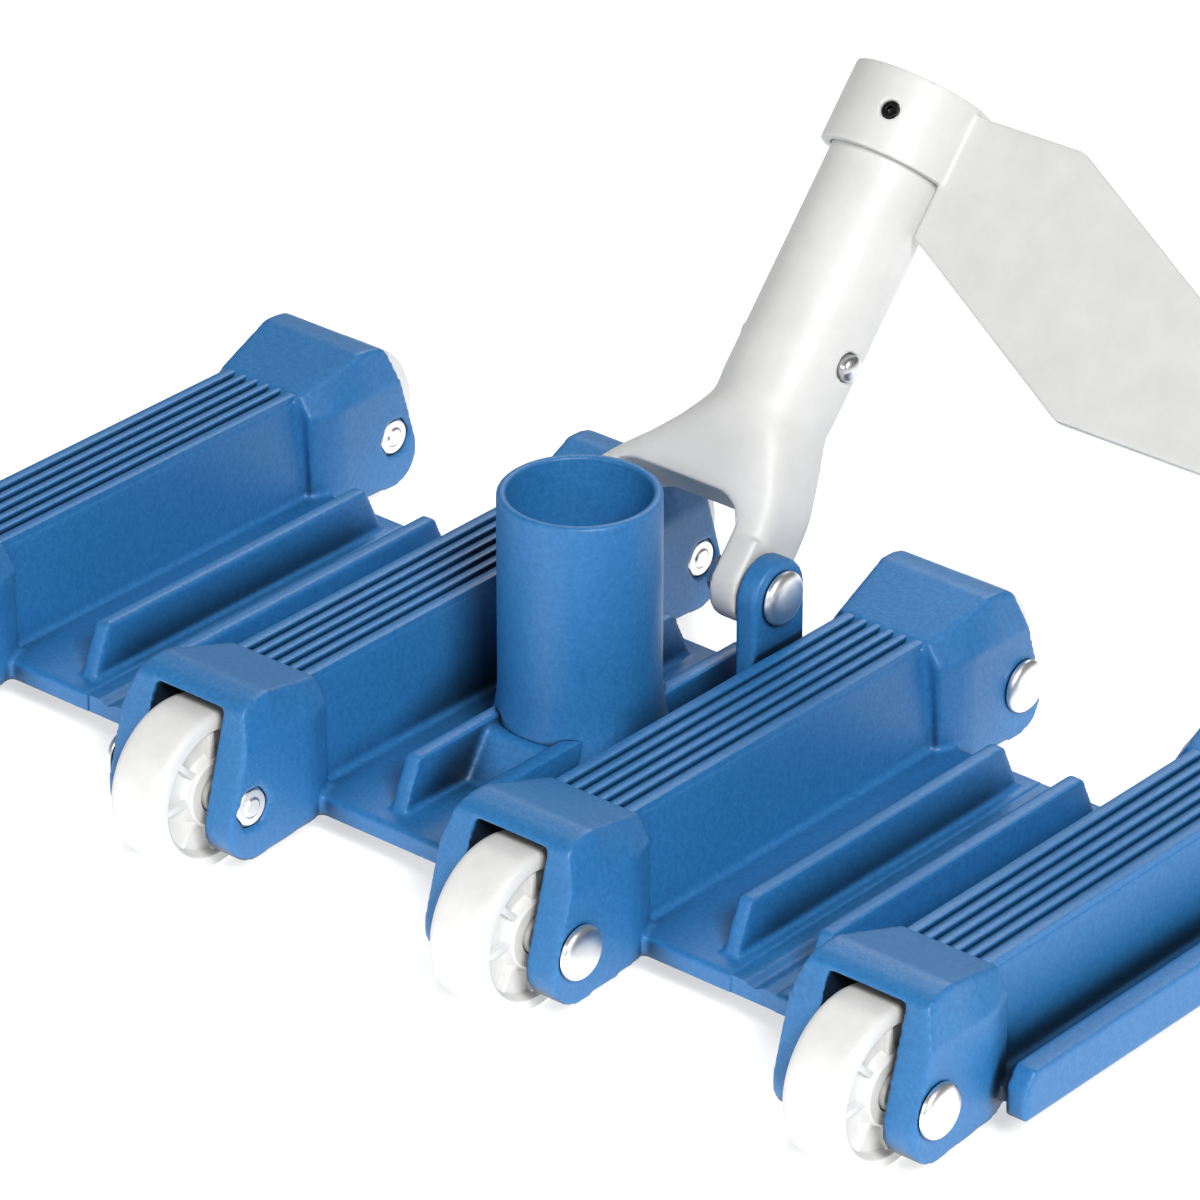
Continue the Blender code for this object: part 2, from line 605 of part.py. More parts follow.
BLUE = material("body_blue", (0.035, 0.19, 0.56), 0.5)
BLUE_DARK = material("cap_blue", (0.03, 0.15, 0.45), 0.55)
WHITE = material("white_plastic", (0.82, 0.82, 0.80), 0.45)
GREY = material("bush_grey", (0.42, 0.42, 0.40), 0.5)
STEEL = material("steel", (0.72, 0.72, 0.72), 0.3, 1.0)
LEAD = material("ballast_metal", (0.25, 0.26, 0.28), 0.6, 1.0)

centre_section()
outer_section("body_left", -1)
outer_section("body_right", 1)
pods = (-POD_X_OUTER, -POD_X_INNER, POD_X_INNER, POD_X_OUTER)
for index, pod_x in enumerate(pods, 1):
    ballast(index, pod_x)
    ballast_cap(index, pod_x)
    running_gear(index, pod_x)
port_low = UNDER_Z + PORT_SEAT + GAP
sleeve(PORT_OUTER - PORT_WALL, PORT_OUTER, port_low, PORT_TOP_Z, "z", 32, BLUE, "hose_port")

nut_face = YOKE_HALF - LEG_THICK - GAP
for tag, hand in (("left", -1), ("right", 1)):
    place = (0, PIVOT_Y, PIVOT_Z)
    bolt(f"pivot_bolt_{tag}", hand, EAR_OUTER, nut_face - NUT_THICK - TIP_PROUD, place)
    near, far = sorted((hand * (nut_face - NUT_THICK), hand * nut_face))
    nut(f"pivot_nut_{tag}", near, far, place)

handle_parts = [handle(), wing(), wing_screw(), clip_bend()]
handle_parts += [snap_button("snap_button_left", -1), snap_button("snap_button_right", 1)]
pivot = bpy.data.objects.new("handle_pivot", None)
bpy.context.scene.collection.objects.link(pivot)
pivot.location = (0, PIVOT_Y, PIVOT_Z)
pivot.rotation_euler = Euler((-LEAN, 0, 0))
for piece in handle_parts:
    piece.parent = pivot

datum = bpy.data.objects.new("port_axis", None)
bpy.context.scene.collection.objects.link(datum)
datum.location = (0, PORT_AXIS_Y, 0)
for piece in bpy.context.scene.objects:
    if piece.parent is None and piece is not datum:
        piece.parent = datum
for piece in bpy.context.scene.objects:
    if piece.type == "MESH":
        piece.data.shade_smooth()
        piece.data.set_sharp_from_angle(angle=radians(35))
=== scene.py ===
"""Studio picture of a weighted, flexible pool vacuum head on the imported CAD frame.

Pieces are rebuilt in finer detail over their CAD nodes, ride on the same bodies and have procedural
materials.
Units are metres. Sizes are counted from the hose port's axis, as in the CAD model.
"""
import bmesh
import bpy
import json
from math import atan2, cos, pi, radians, sin
from mathutils import Matrix, Vector


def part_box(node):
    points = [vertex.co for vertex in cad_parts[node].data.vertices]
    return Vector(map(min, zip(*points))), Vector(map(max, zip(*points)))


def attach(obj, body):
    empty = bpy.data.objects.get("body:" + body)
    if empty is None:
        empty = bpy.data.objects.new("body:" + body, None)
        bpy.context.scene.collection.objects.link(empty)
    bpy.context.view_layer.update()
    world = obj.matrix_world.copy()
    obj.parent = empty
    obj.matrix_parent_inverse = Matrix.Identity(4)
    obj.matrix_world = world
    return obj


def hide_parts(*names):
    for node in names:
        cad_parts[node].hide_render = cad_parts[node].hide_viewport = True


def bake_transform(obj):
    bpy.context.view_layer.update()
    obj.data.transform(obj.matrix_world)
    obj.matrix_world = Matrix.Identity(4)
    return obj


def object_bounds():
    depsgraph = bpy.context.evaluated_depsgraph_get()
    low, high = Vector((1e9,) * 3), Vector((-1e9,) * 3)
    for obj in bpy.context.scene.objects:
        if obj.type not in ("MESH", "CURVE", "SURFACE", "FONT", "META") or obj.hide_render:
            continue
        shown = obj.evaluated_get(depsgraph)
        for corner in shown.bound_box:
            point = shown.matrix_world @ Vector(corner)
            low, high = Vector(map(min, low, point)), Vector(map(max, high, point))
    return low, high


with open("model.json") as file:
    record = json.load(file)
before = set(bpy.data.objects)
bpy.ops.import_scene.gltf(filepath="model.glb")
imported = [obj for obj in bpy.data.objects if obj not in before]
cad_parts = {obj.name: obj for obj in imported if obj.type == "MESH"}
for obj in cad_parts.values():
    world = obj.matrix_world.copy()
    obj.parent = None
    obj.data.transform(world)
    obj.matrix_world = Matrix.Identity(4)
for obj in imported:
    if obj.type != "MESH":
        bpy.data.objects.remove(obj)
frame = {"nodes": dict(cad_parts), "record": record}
CAD_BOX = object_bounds()
MM = 0.001

# Places read from the CAD frame
RECORD = frame["record"]
JOINTS = {joint["name"]: joint for joint in RECORD["behaviour"]["joints"]}
PORT_LOW, PORT_HIGH = (Vector(corner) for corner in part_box("hose_port"))
PORT_AXIS_Y = (PORT_LOW.y + PORT_HIGH.y) / 2
PORT_OUTER = (PORT_HIGH.x - PORT_LOW.x) / 2
WHEEL_LOW, WHEEL_HIGH = (Vector(corner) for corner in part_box("wheel_front_4"))
WHEEL_RADIUS = (WHEEL_HIGH.z - WHEEL_LOW.z) / 2
WHEEL_HALF = (WHEEL_HIGH.x - WHEEL_LOW.x) / 2
AXLE_Z = (WHEEL_HIGH.z + WHEEL_LOW.z) / 2
AXLE_Y = PORT_AXIS_Y - (WHEEL_LOW.y + WHEEL_HIGH.y) / 2
POD_X = {n: sum(corner[0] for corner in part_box(f"wheel_front_{n}")) / 2 for n in (1, 2, 3, 4)}
PIVOT = Vector(JOINTS["handle_swing"]["pos_m"])
POLE_AXIS = next(mount["axis"] for mount in RECORD["mounts"] if mount["name"] == "pole_end")
LEAN = atan2(POLE_AXIS[1], POLE_AXIS[2])
BEND_X, BEND_Z = (JOINTS["flex_right"]["pos_m"][i] for i in (0, 2))
HEAD_HALF_X = CAD_BOX[1][0]
SECTIONS = {1: "section_left", 2: "section_center", 3: "section_center", 4: "section_right"}

# Body
GAP = 0.3 * MM
UNDER_Z = 7.2 * MM
WEB_TOP_Z = 12.5 * MM
WEB_HALF_Y = 56.0 * MM
HINGE_HALF_X = 6.0 * MM      # half width of the thinned strip along each bend line
HINGE_THICK = 4.4 * MM
HINGE_FOLD = 1.0 * MM
BAR_TOP_Z = 39.3 * MM
BAR_TOP_HALF = 11.5 * MM
BAR_BASE_HALF = 15.3 * MM
GROOVES = 5
GROOVE_WIDTH = 1.7 * MM
GROOVE_DEPTH = 1.3 * MM
HUMP_START = 51.0 * MM
HUMP_START_HALF = 16.3 * MM
HUMP_START_TOP = 12.8 * MM
HUMP_FLARE = 8.0 * MM
HUMP_RISE = 19.0 * MM
HUMP_TOP_Z = 44.5 * MM
HUMP_TOP_HALF = 15.8 * MM
POD_HALF = 19.2 * MM
SHOULDER_Z = 34.0 * MM
NOSE_FALL = 2.2 * MM
LUG_RADIUS = 8.6 * MM
LUG_BACK = 0.8 * MM
LUG_DROP = 4.8 * MM
SLOT_HALF = 10.5 * MM
SLOT_CLEAR = 2.8 * MM
FIN_OFFSET = 11.2 * MM
FIN_THICK = 4.2 * MM
FIN_TOP_Z = 25.0 * MM
FIN_RAKE = 6.5 * MM
FIN_HALF_Y = 51.5 * MM
FLAP_THICK = 6.0 * MM
FLAP_LOW_Z = 10.4 * MM
FLAP_TOP_Z = 21.9 * MM
FLAP_HALF_Y = 60.0 * MM
FLAP_WEB = 3.6 * MM
FOOT_RADIUS = 24.0 * MM      # flare at the foot of the port
FOOT_TOP_Z = 32.0 * MM
BLOCK_HALF_Y = 22.0 * MM
BLOCK_TOP_Z = 23.0 * MM
PORT_WALL = 2.3 * MM
EAR_INNER = 28.1 * MM
EAR_THICK = 6.1 * MM
EAR_RADIUS = 9.0 * MM
POCKET_HALF_X = 8.3 * MM
POCKET_HALF_Y = 44.3 * MM
POCKET_ROOF_Z = 34.8 * MM
CAP_HALF_X = 10.5 * MM
CAP_HALF_Y = 46.5 * MM
CAP_THICK = 2.4 * MM

# Running gear
AXLE_RADIUS = 2.5 * MM
BUSH_RADIUS = 4.5 * MM
BUSH_PROUD = 1.0 * MM
HEAD_RADIUS = 6.5 * MM
HEAD_THICK = 2.5 * MM
HEAD_RIM = 0.7 * MM          # straight edge below the dome, and how full the dome is (1 is an ellipse)
HEAD_ROUNDNESS = 0.55
NUT_FLATS = 8.6 * MM
NUT_THICK = 4.0 * MM
NUT_POCKET = 4.9 * MM
AXLE_TIP_PROUD = 0.4 * MM
PIVOT_TIP_PROUD = 1.2 * MM
RIBS = 8

# Handle, in the pivot's own frame: x along the pivot, z up the tube, -y towards the front
YOKE_HALF = 27.6 * MM
LEG_THICK = 7.4 * MM
LEG_RADIUS = 8.9 * MM
LEG_TOP = 9.0 * MM
HEEL_BACK = 12.0 * MM
HEEL_START = 6.0 * MM
CROTCH = 16.5 * MM
CROTCH_ROUND = 8.0 * MM
TUBE_X = 9.8 * MM
TUBE_RADIUS = 14.3 * MM
TUBE_WALL = 2.2 * MM
TUBE_START = 38.0 * MM
TUBE_END = 122.0 * MM
BORE_START = 36.0 * MM
BUTTON_UP = 55.0 * MM
BUTTON_RADIUS = 3.2 * MM
BUTTON_PROUD = 2.4 * MM
BUTTON_DOME = 1.8 * MM
CLIP_THICK = 0.8 * MM
CLIP_HALF = 4.0 * MM
CLIP_LENGTH = 26.0 * MM
LEAF_OUTER = TUBE_RADIUS - TUBE_WALL - 1.0 * MM
COLLAR_WALL = 2.6 * MM
COLLAR_START = 102.0 * MM
PLATE_THICK = 3.6 * MM
PLATE_ROOT_LOW = 88.4 * MM
PLATE_ROOT_HIGH = 120.3 * MM
PLATE_SHOULDER = 31.7 * MM
PLATE_SLOPE = 0.515
PLATE_LOW = 59.7 * MM
PLATE_REACH = 126.7 * MM
SCREW_RADIUS = 2.0 * MM
SCREW_TURN = radians(16.0)


# Mesh helpers
def add_object(name, bm):
    bmesh.ops.recalc_face_normals(bm, faces=bm.faces)
    mesh = bpy.data.meshes.new(name)
    bm.to_mesh(mesh)
    bm.free()
    obj = bpy.data.objects.new(name, mesh)
    bpy.context.scene.collection.objects.link(obj)
    return obj


def prism(outline, low, high, axis, name="tool"):
    """Extrudes an outline along axis: 'x' takes (y, z) points, 'y' takes (x, z) and 'z' takes (x, y)."""
    spots = {"x": lambda a, b, h: (h, a, b), "y": lambda a, b, h: (a, h, b), "z": lambda a, b, h: (a, b, h)}
    spot = spots[axis]
    bm = bmesh.new()
    ends = [[bm.verts.new(spot(a, b, h)) for a, b in outline] for h in (low, high)]
    for ring in ends:
        bm.faces.new(ring)
    count = len(outline)
    for i in range(count):
        j = (i + 1) % count
        bm.faces.new((ends[0][i], ends[0][j], ends[1][j], ends[1][i]))
    return add_object(name, bm)


def block(low, high, name="tool"):
    outline = [(low[0], low[1]), (high[0], low[1]), (high[0], high[1]), (low[0], high[1])]
    return prism(outline, low[2], high[2], "z", name)


def arc(centre, radius, start, end, steps):
    """Points on an arc, from start to end in degrees."""
    turns = [radians(start + (end - start) * i / steps) for i in range(steps + 1)]
    return [(centre[0] + radius * cos(t), centre[1] + radius * sin(t)) for t in turns]


def turned(profile, axis="z", segments=64, name="tool"):
    """Spins a closed profile of (radius, height) points about axis."""
    spots = {
        "x": lambda r, t, h: (h, r * cos(t), r * sin(t)),
        "z": lambda r, t, h: (r * cos(t), r * sin(t), h),
    }
    spot = spots[axis]
    bm = bmesh.new()
    columns = []
    for r, h in profile:
        if r == 0:
            columns.append([bm.verts.new(spot(0, 0, h))] * segments)
            continue
        columns.append([bm.verts.new(spot(r, 2 * pi * i / segments, h)) for i in range(segments)])
    for a, b in zip(columns, columns[1:] + columns[:1]):
        if a[0] is a[1] and b[0] is b[1]:
            continue
        for i in range(segments):
            j = (i + 1) % segments
            bm.faces.new(list(dict.fromkeys((a[i], a[j], b[j], b[i]))))
    return add_object(name, bm)


def rod(radius, low, high, axis="z", segments=48):
    return turned([(0, low), (radius, low), (radius, high), (0, high)], axis, segments)


def hexagon(flats, low, high):
    return rod(flats / 2 / cos(pi / 6), low, high, "x", 6)


def moved(obj, x=0.0, y=0.0, z=0.0, spin=0.0):
    obj.data.transform(Matrix.Translation((x, y, z)) @ Matrix.Rotation(spin, 4, "Z"))
    return obj


def bake(obj):
    """Applies the modifiers of obj to its mesh."""
    bpy.context.view_layer.update()
    result = bpy.data.meshes.new_from_object(obj.evaluated_get(bpy.context.evaluated_depsgraph_get()))
    obj.modifiers.clear()
    obj.data = result
    return obj


def combine(target, tool, operation):
    modifier = target.modifiers.new("combine", "BOOLEAN")
    modifier.operation = operation
    modifier.solver = "EXACT"
    modifier.object = tool
    bake(target)
    bpy.data.objects.remove(tool)
    return target


def add(target, tool):
    return combine(target, tool, "UNION")


def cut(target, tool):
    return combine(target, tool, "DIFFERENCE")


def keep(target, tool):
    return combine(target, tool, "INTERSECT")


def joined(target, extras):
    """Adds the meshes of extras to target as they are."""
    bm = bmesh.new()
    bm.from_mesh(target.data)
    for extra in extras:
        bm.from_mesh(extra.data)
        bpy.data.objects.remove(extra)
    bm.to_mesh(target.data)
    bm.free()
    return target


def soften(obj, voxel, rounds):
    """Turns obj into one moulded skin with small fillets on every edge."""
    remesh = obj.modifiers.new("skin", "REMESH")
    remesh.mode = "VOXEL"
    remesh.voxel_size = voxel
    smooth = obj.modifiers.new("fillets", "SMOOTH")
    smooth.factor = 0.5
    smooth.iterations = rounds
    return bake(obj)


def rounded(obj, width, segments=2):
    """Bevels every edge sharper than a shallow angle."""
    bevel = obj.modifiers.new("edges", "BEVEL")
    bevel.width = width
    bevel.segments = segments
    bevel.limit_method = "ANGLE"
    bevel.angle_limit = radians(30)
    return bake(obj)


def finished(obj, name, body, mat, nodes, sharp=40):
    """Names a piece, gives it its material and ties it to its body and to the CAD nodes it stands for."""
    obj.name = name
    obj.data.name = name
    obj.data.materials.clear()
    obj.data.materials.append(mat)
    obj.data.shade_smooth()
    obj.data.set_sharp_from_angle(angle=radians(sharp))
    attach(obj, body)
    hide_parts(*nodes)
    return obj


# Materials
SKIN_VOXEL = 0.7 * MM        # grid that rounds the mouldings' edges, and how often it is smoothed
SKIN_ROUNDS = 4
RECESS_REACH = 22.0 * MM     # how far off a neighbour still encloses a surface, for the painted shade in recesses
RECESS_DEEP = 0.36           # open shares of the surroundings where the painted shade is full and where it ends
RECESS_OPEN = 0.60


def paint_recess_shade(tree, colour, amount):
    """Paints shade into a colour: darkens it where the surface lies deep between others, the same from
    every side, in place of the shadow that falls there.
    """
    shader = tree.nodes["Principled BSDF"]
    depth = tree.nodes.new("ShaderNodeAmbientOcclusion")
    depth.inputs["Distance"].default_value = RECESS_REACH
    spread = tree.nodes.new("ShaderNodeMapRange")
    spread.inputs["From Min"].default_value = RECESS_DEEP
    spread.inputs["From Max"].default_value = RECESS_OPEN
    spread.inputs["To Min"].default_value = 1.0 - amount
    spread.inputs["To Max"].default_value = 1.0
    tree.links.new(depth.outputs["AO"], spread.inputs["Value"])
    shade = tree.nodes.new("ShaderNodeVectorMath")
    shade.operation = "SCALE"
    tree.links.new(colour, shade.inputs["Vector"])
    tree.links.new(spread.outputs["Result"], shade.inputs["Scale"])
    tree.links.new(shade.outputs["Vector"], shader.inputs["Base Color"])


def tinted(name, low, high, patch, roughness, spread, grain, bump, metallic=0.0, painted_shade=0.0):
    """A material whose colour drifts between two tints and whose roughness and surface follow a fine grain.

    patch and grain are noise scales per metre, spread is how far the roughness varies, bump is in metres
    and painted_shade is the share of the colour darkened as painted shade deep in corners and grooves.
    """
    mat = bpy.data.materials.new(name)
    mat.use_nodes = True
    tree = mat.node_tree
    shader = tree.nodes["Principled BSDF"]
    place = tree.nodes.new("ShaderNodeTexCoord")
    drift = tree.nodes.new("ShaderNodeTexNoise")
    drift.inputs["Scale"].default_value = patch
    drift.inputs["Detail"].default_value = 6.0
    drift.inputs["Roughness"].default_value = 0.62
    tree.links.new(place.outputs["Object"], drift.inputs["Vector"])
    tints = tree.nodes.new("ShaderNodeValToRGB")
    tints.color_ramp.elements[0].position = 0.32
    tints.color_ramp.elements[0].color = (*low, 1.0)
    tints.color_ramp.elements[1].position = 0.68
    tints.color_ramp.elements[1].color = (*high, 1.0)
    tree.links.new(drift.outputs["Fac"], tints.inputs["Fac"])
    tree.links.new(tints.outputs["Color"], shader.inputs["Base Color"])
    # Painted shade: the colour is darkened deep in corners and grooves, where shadow falls.
    if painted_shade:
        paint_recess_shade(tree, tints.outputs["Color"], painted_shade)
    speckle = tree.nodes.new("ShaderNodeTexNoise")
    speckle.inputs["Scale"].default_value = grain
    speckle.inputs["Detail"].default_value = 3.0
    tree.links.new(place.outputs["Object"], speckle.inputs["Vector"])
    gloss = tree.nodes.new("ShaderNodeMapRange")
    gloss.inputs["To Min"].default_value = roughness - spread
    gloss.inputs["To Max"].default_value = roughness + spread
    tree.links.new(speckle.outputs["Fac"], gloss.inputs["Value"])
    tree.links.new(gloss.outputs["Result"], shader.inputs["Roughness"])
    relief = tree.nodes.new("ShaderNodeBump")
    relief.inputs["Strength"].default_value = 0.5
    relief.inputs["Distance"].default_value = bump
    tree.links.new(speckle.outputs["Fac"], relief.inputs["Height"])
    tree.links.new(relief.outputs["Normal"], shader.inputs["Normal"])
    shader.inputs["Metallic"].default_value = metallic
    return mat


# The blue carries painted shade: its colour darkens in the grooves and between bars and fins, where shadow
# falls.
BLUE = tinted("moulded_blue", (0.014, 0.130, 0.345), (0.026, 0.175, 0.425),
              800, 0.46, 0.10, 1500, 0.00014, painted_shade=0.93)
BLUE_DARK = tinted("cap_moulding", (0.014, 0.10, 0.32), (0.022, 0.14, 0.39),
                   220, 0.52, 0.08, 1300, 0.00010)
WHITE = tinted("white_moulding", (0.58, 0.58, 0.566), (0.63, 0.63, 0.616), 90, 0.47, 0.06, 900, 0.00004)
TREAD = tinted("wheel_moulding", (0.66, 0.66, 0.645), (0.72, 0.72, 0.705),
               160, 0.42, 0.08, 1100, 0.00006)
BUSH = tinted("bearing_plastic", (0.40, 0.40, 0.38), (0.50, 0.50, 0.47), 300, 0.48, 0.08, 1400, 0.00006)
STEEL = tinted("bright_steel", (0.84, 0.84, 0.84), (0.92, 0.92, 0.91),
               500, 0.36, 0.08, 1800, 0.00002, 1.0)
SPRING = tinted("spring_steel", (0.50, 0.50, 0.51), (0.66, 0.66, 0.66),
                400, 0.32, 0.10, 1600, 0.00003, 1.0)
CAST = tinted("cast_ballast", (0.16, 0.17, 0.18), (0.30, 0.31, 0.32),
              420, 0.62, 0.12, 700, 0.00030, 1.0)
BLACKENED = tinted("blackened_screw", (0.015, 0.015, 0.016), (0.035, 0.035, 0.036),
                   600, 0.40, 0.10, 1500, 0.00003, 1.0)


# Blue mouldings, counted from the port's axis
def end_block(x, side):
    far = AXLE_Y + WHEEL_RADIUS
    stations = []
    for i in range(7):
        y = HUMP_START + HUMP_RISE * i / 6
        widen = min(1.0, (y - HUMP_START) / HUMP_FLARE)
        climb = (y - HUMP_START) / HUMP_RISE
        base = HUMP_START_HALF + (POD_HALF - HUMP_START_HALF) * widen
        top = HUMP_START_TOP + (HUMP_TOP_HALF - HUMP_START_TOP) * climb
        stations.append((y, base, top, BAR_TOP_Z + (HUMP_TOP_Z - BAR_TOP_Z) * climb))
    stations.append((far, POD_HALF, HUMP_TOP_HALF, HUMP_TOP_Z))
    bm = bmesh.new()
    rings = []
    for y, base, top, height in stations:
        half = [(base, -MM), (base, SHOULDER_Z), (top, height)]
        ring = half + [(-a, b) for a, b in reversed(half)]
        rings.append([bm.verts.new((a, side * y, b)) for a, b in ring])
    for near, away in zip(rings, rings[1:]):
        for i in range(len(near)):
            j = (i + 1) % len(near)
            bm.faces.new((near[i], near[j], away[j], away[i]))
    bm.faces.new(rings[0])
    bm.faces.new(rings[-1])
    bmesh.ops.triangulate(bm, faces=bm.faces)
    shape = add_object("tool", bm)
    lug = (AXLE_Y - LUG_BACK, AXLE_Z - LUG_DROP)
    profile = [(HUMP_START - MM, UNDER_Z), (HUMP_START - MM, HUMP_TOP_Z + MM)]
    profile += [(AXLE_Y - 7 * MM, HUMP_TOP_Z + MM)]
    profile += [(AXLE_Y - 7 * MM, HUMP_TOP_Z), (AXLE_Y - 3 * MM, HUMP_TOP_Z - 0.25 * NOSE_FALL)]
    profile += [(AXLE_Y - MM, HUMP_TOP_Z - 0.6 * NOSE_FALL), (AXLE_Y, HUMP_TOP_Z - NOSE_FALL)]
    profile += arc(lug, LUG_RADIUS, 14, -100, 16)
    profile += [(AXLE_Y - 16 * MM, UNDER_Z)]
    keep(shape, prism([(side * a, b) for a, b in profile], -POD_HALF - MM, POD_HALF + MM, "x"))
    return moved(shape, x)


def wheel_slot(x, side):
    back = AXLE_Y - WHEEL_RADIUS - SLOT_CLEAR
    roof = AXLE_Z + WHEEL_RADIUS + SLOT_CLEAR
    far = AXLE_Y + 2 * WHEEL_RADIUS
    profile = [(back, -MM), (back, AXLE_Z + 12 * MM), (back + 7 * MM, roof - 2 * MM)]
    profile += [(back + 14 * MM, roof), (far, roof), (far, -MM)]
    return moved(prism([(side * a, b) for a, b in profile], -SLOT_HALF, SLOT_HALF, "x"), x)


def bar(x, name="tool"):
    level = BAR_TOP_Z - GROOVE_DEPTH
    outline = [(-BAR_BASE_HALF, UNDER_Z), (BAR_BASE_HALF, UNDER_Z), (BAR_TOP_HALF + 0.2 * MM, level)]
    outline += [(-BAR_TOP_HALF - 0.2 * MM, level)]
    return moved(prism(outline, -HUMP_START - 2 * MM, HUMP_START + 2 * MM, "y", name), x)


def ridges(x):
    """The raised strips between the grooves on top of a pod's bar."""
    pitch = 2 * BAR_TOP_HALF / (GROOVES + 1)
    low = BAR_TOP_Z - GROOVE_DEPTH - 1.5 * MM
    turn = 0.45 * MM
    made = []
    for i in range(GROOVES + 1):
        start = -BAR_TOP_HALF + i * pitch + (GROOVE_WIDTH / 2 if i else 0.0)
        end = -BAR_TOP_HALF + (i + 1) * pitch - (GROOVE_WIDTH / 2 if i < GROOVES else 0.0)
        outline = [(start, low), (end, low), (end, BAR_TOP_Z - turn)]
        outline += [(end - 0.3 * turn, BAR_TOP_Z - 0.3 * turn)]
        outline += [(end - turn, BAR_TOP_Z), (start + turn, BAR_TOP_Z)]
        outline += [(start + 0.3 * turn, BAR_TOP_Z - 0.3 * turn), (start, BAR_TOP_Z - turn)]
        made.append(moved(prism(outline, -HUMP_START - MM, HUMP_START + MM, "y"), x))
    return made


def pod_cuts(body, x):
    hand = -1 if x > 0 else 1
    pocket = sorted((hand * (POD_HALF - NUT_POCKET), hand * (POD_HALF + MM)))
    for side in (-1, 1):
        cut(body, wheel_slot(x, side))
        cut(body, moved(hexagon(NUT_FLATS + 2 * GAP, *pocket), x, side * AXLE_Y, AXLE_Z))
        cut(body, moved(rod(AXLE_RADIUS + GAP, -2 * POD_HALF, 2 * POD_HALF, "x"), x, side * AXLE_Y, AXLE_Z))
    corner = (x + POCKET_HALF_X, POCKET_HALF_Y, POCKET_ROOF_Z)
    cut(body, block((x - POCKET_HALF_X, -POCKET_HALF_Y, 0), corner))
    top = UNDER_Z + CAP_THICK
    cut(body, block((x - CAP_HALF_X, -CAP_HALF_Y, 0), (x + CAP_HALF_X, CAP_HALF_Y, top)))


def fin(x):
    low = WEB_TOP_Z - 2 * MM
    outline = [(-FIN_HALF_Y, low), (-FIN_HALF_Y + FIN_RAKE, FIN_TOP_Z), (FIN_HALF_Y - FIN_RAKE, FIN_TOP_Z)]
    outline += [(FIN_HALF_Y, low)]
    return prism(outline, x - FIN_THICK / 2, x + FIN_THICK / 2, "x")


def add_pod(body, x):
    add(body, bar(x))
    for side in (-1, 1):
        add(body, end_block(x, side))


def centre_moulding():
    reach = BEND_X - HINGE_HALF_X
    body = block((-reach, -WEB_HALF_Y, UNDER_Z), (reach, WEB_HALF_Y, WEB_TOP_Z), "moulding")
    for n in (2, 3):
        add_pod(body, POD_X[n])
    for x in (-BEND_X + FIN_OFFSET, -FIN_OFFSET, FIN_OFFSET, BEND_X - FIN_OFFSET):
        add(body, fin(x))
    deep = BLOCK_HALF_Y
    wide = FIN_OFFSET + FIN_THICK / 2
    rise = [(-deep - 8 * MM, WEB_TOP_Z - MM), (-deep, BLOCK_TOP_Z), (deep, BLOCK_TOP_Z)]
    rise += [(deep + 8 * MM, WEB_TOP_Z - MM)]
    add(body, prism(rise, -wide, wide, "x"))
    for side in (-1, 1):
        foot = WEB_TOP_Z - 2 * MM
        centre = (PIVOT.y - PORT_AXIS_Y, PIVOT.z)
        outline = [(centre[0] + EAR_RADIUS, foot)] + arc(centre, EAR_RADIUS, 0, 180, 24)
        outline += [(centre[0] - EAR_RADIUS, foot)]
        inner, outer = sorted((side * EAR_INNER, side * (EAR_INNER + EAR_THICK)))
        add(body, prism(outline, inner, outer, "x"))
    cut(body, rod(PORT_OUTER + GAP, PORT_LOW.z - GAP, PORT_HIGH.z, "z", 64))
    cut(body, rod(PORT_OUTER - PORT_WALL, -MM, PORT_HIGH.z, "z", 64))
    through = EAR_INNER + EAR_THICK + MM
    cut(body, moved(rod(AXLE_RADIUS + GAP, -through, through, "x"), 0, PIVOT.y - PORT_AXIS_Y, PIVOT.z))
    for n in (2, 3):
        pod_cuts(body, POD_X[n])
    soften(body, SKIN_VOXEL, SKIN_ROUNDS)
    return joined(body, ridges(POD_X[2]) + ridges(POD_X[3]))


def outer_moulding(n):
    side = -1 if n == 1 else 1
    near, far = sorted((side * (BEND_X + HINGE_HALF_X), POD_X[n]))
    body = block((near, -WEB_HALF_Y, UNDER_Z), (far, WEB_HALF_Y, WEB_TOP_Z), "moulding")
    add_pod(body, POD_X[n])
    add(body, fin(side * (BEND_X + FIN_OFFSET)))
    floor = sorted((POD_X[n], side * (HEAD_HALF_X - MM)))
    add(body, block((floor[0], -WEB_HALF_Y, FLAP_LOW_Z), (floor[1], WEB_HALF_Y, FLAP_LOW_Z + FLAP_WEB)))
    outline = [(-FLAP_HALF_Y, FLAP_LOW_Z), (-FLAP_HALF_Y, FLAP_TOP_Z - 4 * MM)]
    outline += [(-FLAP_HALF_Y + 3 * MM, FLAP_TOP_Z)]
    outline += [(-a, b) for a, b in reversed(outline)]
    flap = sorted((side * HEAD_HALF_X, side * (HEAD_HALF_X - FLAP_THICK)))
    add(body, prism(outline, flap[0], flap[1], "x"))
    pod_cuts(body, POD_X[n])
    soften(body, SKIN_VOXEL, SKIN_ROUNDS)
    return joined(body, ridges(POD_X[n]))


def hinge_strip(side):
    """The thin part of the web that bends, with a shallow fold along its middle."""
    reach = HINGE_HALF_X + MM
    steps = 28
    upper = []
    for i in range(steps + 1):
        x = -reach + 2 * reach * i / steps
        dip = HINGE_FOLD * max(0.0, cos(pi * x / HINGE_HALF_X)) ** 2 if abs(x) < HINGE_HALF_X / 2 else 0.0
        upper.append((side * BEND_X + x, BEND_Z + HINGE_THICK / 2 - dip))
    lower = [(x, BEND_Z - HINGE_THICK / 2) for x, _ in reversed(upper)]
    strip = prism(upper + lower, -WEB_HALF_Y + 0.4 * MM, WEB_HALF_Y - 0.4 * MM, "y")
    return moved(strip, 0, PORT_AXIS_Y)




